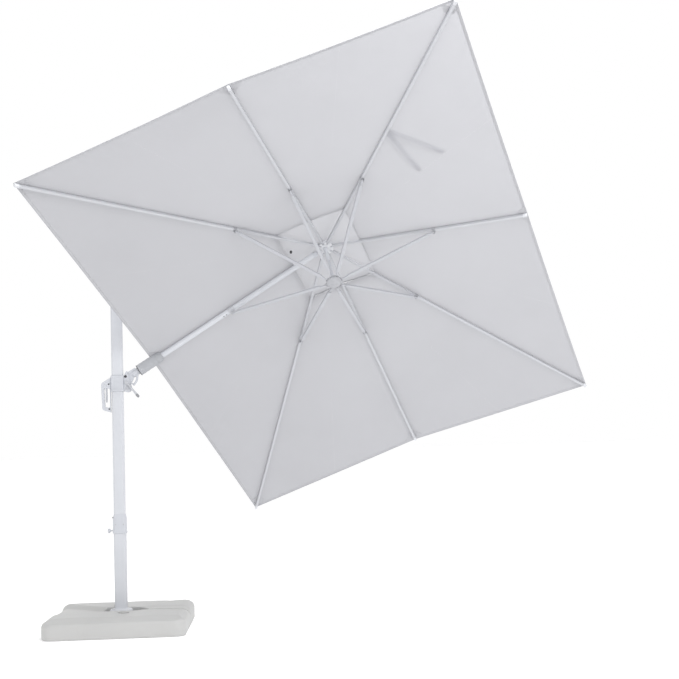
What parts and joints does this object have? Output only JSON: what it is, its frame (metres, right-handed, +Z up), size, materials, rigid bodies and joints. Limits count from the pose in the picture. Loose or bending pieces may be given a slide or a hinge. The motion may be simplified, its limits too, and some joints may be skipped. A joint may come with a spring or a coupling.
{
  "type": "cantilever parasol",
  "caption": "Free-standing side-post parasol: weighted base, turning mast, sliding carriage, tilting boom and a folding rectangular canopy on ribs and struts.",
  "frame": {"origin": "on the ground under the mast's axis, at the middle of the base's underside", "axes": "+Z up; +X from the mast towards the boom and the canopy, square to one side of the base; +Y to the rear"},
  "size_m": [3.9022, 3.2976, 3.6322],
  "materials": {
    "canopy_fabric": "matte",
    "tank_plastic": "satin",
    "painted_steel": "satin",
    "painted_aluminium": "satin",
    "white_plastic": "satin",
    "grey_plastic": "satin",
    "dark_plastic": "satin",
    "steel": "satin"
  },
  "bodies": {
    "base": {"tank_front": "tank_plastic", "tank_rear": "tank_plastic", "cross_frame": "painted_steel", "turntable_housing": "white_plastic"},
    "cap_front": {"filler_cap_front": "tank_plastic"},
    "cap_rear": {"filler_cap_rear": "tank_plastic"},
    "pedal": {"foot_pedal": "dark_plastic"},
    "mast": {"turntable_disc": "white_plastic", "mast_lower": "painted_aluminium", "mast_upper": "painted_aluminium", "mast_sleeve": "painted_aluminium", "mast_top_cap": "white_plastic"},
    "knob": {"sleeve_knob": "painted_aluminium"},
    "carriage": {"carriage": "painted_aluminium", "slide_bush_lower": "dark_plastic", "slide_bush_upper": "dark_plastic", "grip_handle": "painted_aluminium", "cheek_near": "painted_aluminium", "cheek_far": "painted_aluminium", "pivot_pin": "steel"},
    "trigger": {"release_trigger": "grey_plastic"},
    "lever": {"lock_lever": "dark_plastic"},
    "knuckle": {"boom_knuckle": "painted_aluminium"},
    "boom": {"boom_tube": "painted_aluminium", "tilt_grip": "grey_plastic", "boom_end_fork": "painted_aluminium", "strut_bracket": "painted_aluminium", "panel_boom": "canopy_fabric"},
    "crown": {"crown_hub": "white_plastic", "crown_post": "painted_aluminium", "crown_finial": "white_plastic", "vent_cap": "canopy_fabric"},
    "runner": {"runner_hub": "white_plastic", "runner_tube": "painted_aluminium"},
    "rib_outer": {"rib_outer": "painted_aluminium", "panel_outer": "canopy_fabric"},
    "rib_outer_right": {"rib_outer_right": "painted_aluminium", "panel_outer_right": "canopy_fabric"},
    "rib_right": {"rib_right": "painted_aluminium", "panel_right": "canopy_fabric"},
    "rib_inner_right": {"rib_inner_right": "painted_aluminium", "panel_inner_right": "canopy_fabric"},
    "rib_inner_left": {"rib_inner_left": "painted_aluminium", "panel_inner_left": "canopy_fabric"},
    "rib_left": {"rib_left": "painted_aluminium", "panel_left": "canopy_fabric"},
    "rib_outer_left": {"rib_outer_left": "painted_aluminium", "panel_outer_left": "canopy_fabric"},
    "strut_outer": {"strut_outer": "painted_aluminium"},
    "strut_outer_right": {"strut_outer_right": "painted_aluminium"},
    "strut_right": {"strut_right": "painted_aluminium"},
    "strut_inner_right": {"strut_inner_right": "painted_aluminium"},
    "strut_inner_left": {"strut_inner_left": "painted_aluminium"},
    "strut_left": {"strut_left": "painted_aluminium"},
    "strut_outer_left": {"strut_outer_left": "painted_aluminium"},
    "strut_boom": {"strut_boom": "painted_aluminium"}
  },
  "joints": [
    {"name": "mast_swivel", "type": "hinge", "parent": "base", "child": "mast", "pos_m": [0, 0, 0], "axis": [0, 0, 1], "continuous": true},
    {"name": "cap_front_turn", "type": "hinge", "parent": "base", "child": "cap_front", "pos_m": [0.037, -0.183, 0.132], "axis": [0, 0, 1], "continuous": true},
    {"name": "cap_rear_turn", "type": "hinge", "parent": "base", "child": "cap_rear", "pos_m": [-0.037, 0.183, 0.132], "axis": [0, 0, 1], "continuous": true},
    {"name": "pedal_press", "type": "hinge", "parent": "base", "child": "pedal", "pos_m": [0.078, 0, 0.088], "axis": [0, 1, 0], "range_deg": [0, 12], "stiffness_Nm_per_rad": 25, "springref_deg": -3.44},
    {"name": "knob_turn", "type": "hinge", "parent": "mast", "child": "knob", "pos_m": [-0.064, 0, 0.658], "axis": [1, 0, 0], "continuous": true},
    {"name": "carriage_slide", "type": "slide", "parent": "mast", "child": "carriage", "axis": [0, 0, 1], "range_m": [-0.45, 0.45]},
    {"name": "trigger_squeeze", "type": "hinge", "parent": "carriage", "child": "trigger", "pos_m": [-0.0769, 0, 1.616], "axis": [0, 1, 0], "range_deg": [0, 3], "stiffness_Nm_per_rad": 4, "springref_deg": -3.44},
    {"name": "lever_turn", "type": "hinge", "parent": "carriage", "child": "lever", "pos_m": [0.066, -0.0333, 1.66], "axis": [0, 1, 0], "range_deg": [-30, 20]},
    {"name": "boom_elevation", "type": "hinge", "parent": "carriage", "child": "knuckle", "pos_m": [0.057, 0, 1.704], "axis": [0, -1, 0], "range_deg": [-32, 25]},
    {"name": "canopy_tilt", "type": "hinge", "parent": "knuckle", "child": "boom", "pos_m": [0.096, 0, 1.711], "axis": [0.8462, 0, 0.5329], "range_deg": [-3.4, 86.6]},
    {"name": "canopy_fold", "type": "hinge", "parent": "boom", "child": "crown", "pos_m": [1.41014, 0, 2.53856], "axis": [0.3538, 0.7478, -0.5618], "range_deg": [0, 64], "deforming": ["panel_outer", "panel_outer_right", "panel_right", "panel_inner_right", "panel_inner_left", "panel_left", "panel_outer_left", "panel_boom", "vent_cap"]},
    {"name": "rib_outer_fold", "type": "hinge", "parent": "crown", "child": "rib_outer", "pos_m": [1.498, -0.01352, 2.57589], "axis": [0.3538, 0.7478, -0.5618], "range_deg": [0, 63.23]},
    {"name": "strut_outer_fold", "type": "hinge", "parent": "rib_outer", "child": "strut_outer", "pos_m": [2.17526, -0.31185, 2.60529], "axis": [0.3538, 0.7478, -0.5618], "range_deg": [-138.4, 0]},
    {"name": "rib_outer_right_fold", "type": "hinge", "parent": "crown", "child": "rib_outer_right", "pos_m": [1.49377, 0.01906, 2.5482], "axis": [-0.53, 0.6084, -0.5907], "range_deg": [0, 68.29]},
    {"name": "strut_outer_right_fold", "type": "hinge", "parent": "rib_outer_right", "child": "strut_outer_right", "pos_m": [2.10419, 0.23731, 2.22526], "axis": [-0.53, 0.6084, -0.5907], "range_deg": [-138.55, 0]},
    {"name": "rib_right_fold", "type": "hinge", "parent": "crown", "child": "rib_right", "pos_m": [1.47049, 0.03198, 2.53369], "axis": [-0.927, 0.2002, -0.3173], "range_deg": [0, 67.57]},
    {"name": "strut_right_fold", "type": "hinge", "parent": "rib_right", "child": "strut_right", "pos_m": [1.74241, 0.43274, 1.99209], "axis": [-0.927, 0.2002, -0.3173], "range_deg": [-138.51, 0]},
    {"name": "rib_inner_right_fold", "type": "hinge", "parent": "crown", "child": "rib_inner_right", "pos_m": [1.44044, 0.03058, 2.52995], "axis": [-0.9541, -0.2879, 0.0827], "range_deg": [0, 68.29]},
    {"name": "strut_inner_right_fold", "type": "hinge", "parent": "rib_inner_right", "child": "strut_inner_right", "pos_m": [1.27279, 0.41687, 1.9407], "axis": [-0.9541, -0.2879, 0.0827], "range_deg": [-138.55, 0]},
    {"name": "rib_inner_left_fold", "type": "hinge", "parent": "crown", "child": "rib_inner_left", "pos_m": [1.41325, -0.02689, 2.57312], "axis": [0.53, -0.6084, 0.5907], "range_deg": [0, 68.29]},
    {"name": "strut_inner_left_fold", "type": "hinge", "parent": "rib_inner_left", "child": "strut_inner_left", "pos_m": [0.84893, -0.47903, 2.61378], "axis": [0.53, -0.6084, 0.5907], "range_deg": [-138.55, 0]},
    {"name": "rib_left_fold", "type": "hinge", "parent": "crown", "child": "rib_left", "pos_m": [1.43653, -0.03981, 2.58763], "axis": [0.927, -0.2002, 0.3173], "range_deg": [0, 67.57]},
    {"name": "strut_left_fold", "type": "hinge", "parent": "rib_left", "child": "strut_left", "pos_m": [1.21303, -0.68622, 2.83275], "axis": [0.927, -0.2002, 0.3173], "range_deg": [-138.51, 0]},
    {"name": "rib_outer_left_fold", "type": "hinge", "parent": "crown", "child": "rib_outer_left", "pos_m": [1.46658, -0.03841, 2.59138], "axis": [0.9541, 0.2879, -0.0827], "range_deg": [0, 68.29]},
    {"name": "strut_outer_left_fold", "type": "hinge", "parent": "rib_outer_left", "child": "strut_outer_left", "pos_m": [1.68033, -0.65859, 2.89834], "axis": [0.9541, 0.2879, -0.0827], "range_deg": [-138.55, 0]},
    {"name": "strut_boom_fold", "type": "hinge", "parent": "boom", "child": "strut_boom", "pos_m": [0.80345, -0.02656, 2.12116], "axis": [-0.3538, -0.7478, 0.5618], "range_deg": [-142.3, 0]},
    {"name": "runner_slide", "type": "slide", "parent": "crown", "child": "runner", "axis": [0.1248, -0.633, -0.764], "range_m": [0, 1.07468]}
  ],
  "couplings": [
    {"joint": "rib_outer_fold", "follows": "canopy_fold", "ratio": 0.9878},
    {"joint": "strut_outer_fold", "follows": "canopy_fold", "ratio": -2.1623},
    {"joint": "rib_outer_right_fold", "follows": "canopy_fold", "ratio": 1.0668},
    {"joint": "strut_outer_right_fold", "follows": "canopy_fold", "ratio": -2.1646},
    {"joint": "rib_right_fold", "follows": "canopy_fold", "ratio": 1.0556},
    {"joint": "strut_right_fold", "follows": "canopy_fold", "ratio": -2.1641},
    {"joint": "rib_inner_right_fold", "follows": "canopy_fold", "ratio": 1.0668},
    {"joint": "strut_inner_right_fold", "follows": "canopy_fold", "ratio": -2.1646},
    {"joint": "rib_inner_left_fold", "follows": "canopy_fold", "ratio": 1.0668},
    {"joint": "strut_inner_left_fold", "follows": "canopy_fold", "ratio": -2.1646},
    {"joint": "rib_left_fold", "follows": "canopy_fold", "ratio": 1.0556},
    {"joint": "strut_left_fold", "follows": "canopy_fold", "ratio": -2.1641},
    {"joint": "rib_outer_left_fold", "follows": "canopy_fold", "ratio": 1.0668},
    {"joint": "strut_outer_left_fold", "follows": "canopy_fold", "ratio": -2.1646},
    {"joint": "strut_boom_fold", "follows": "canopy_fold", "ratio": -2.2233},
    {"joint": "runner_slide", "follows": "canopy_fold", "m_per_rad": 0.96192}
  ]
}
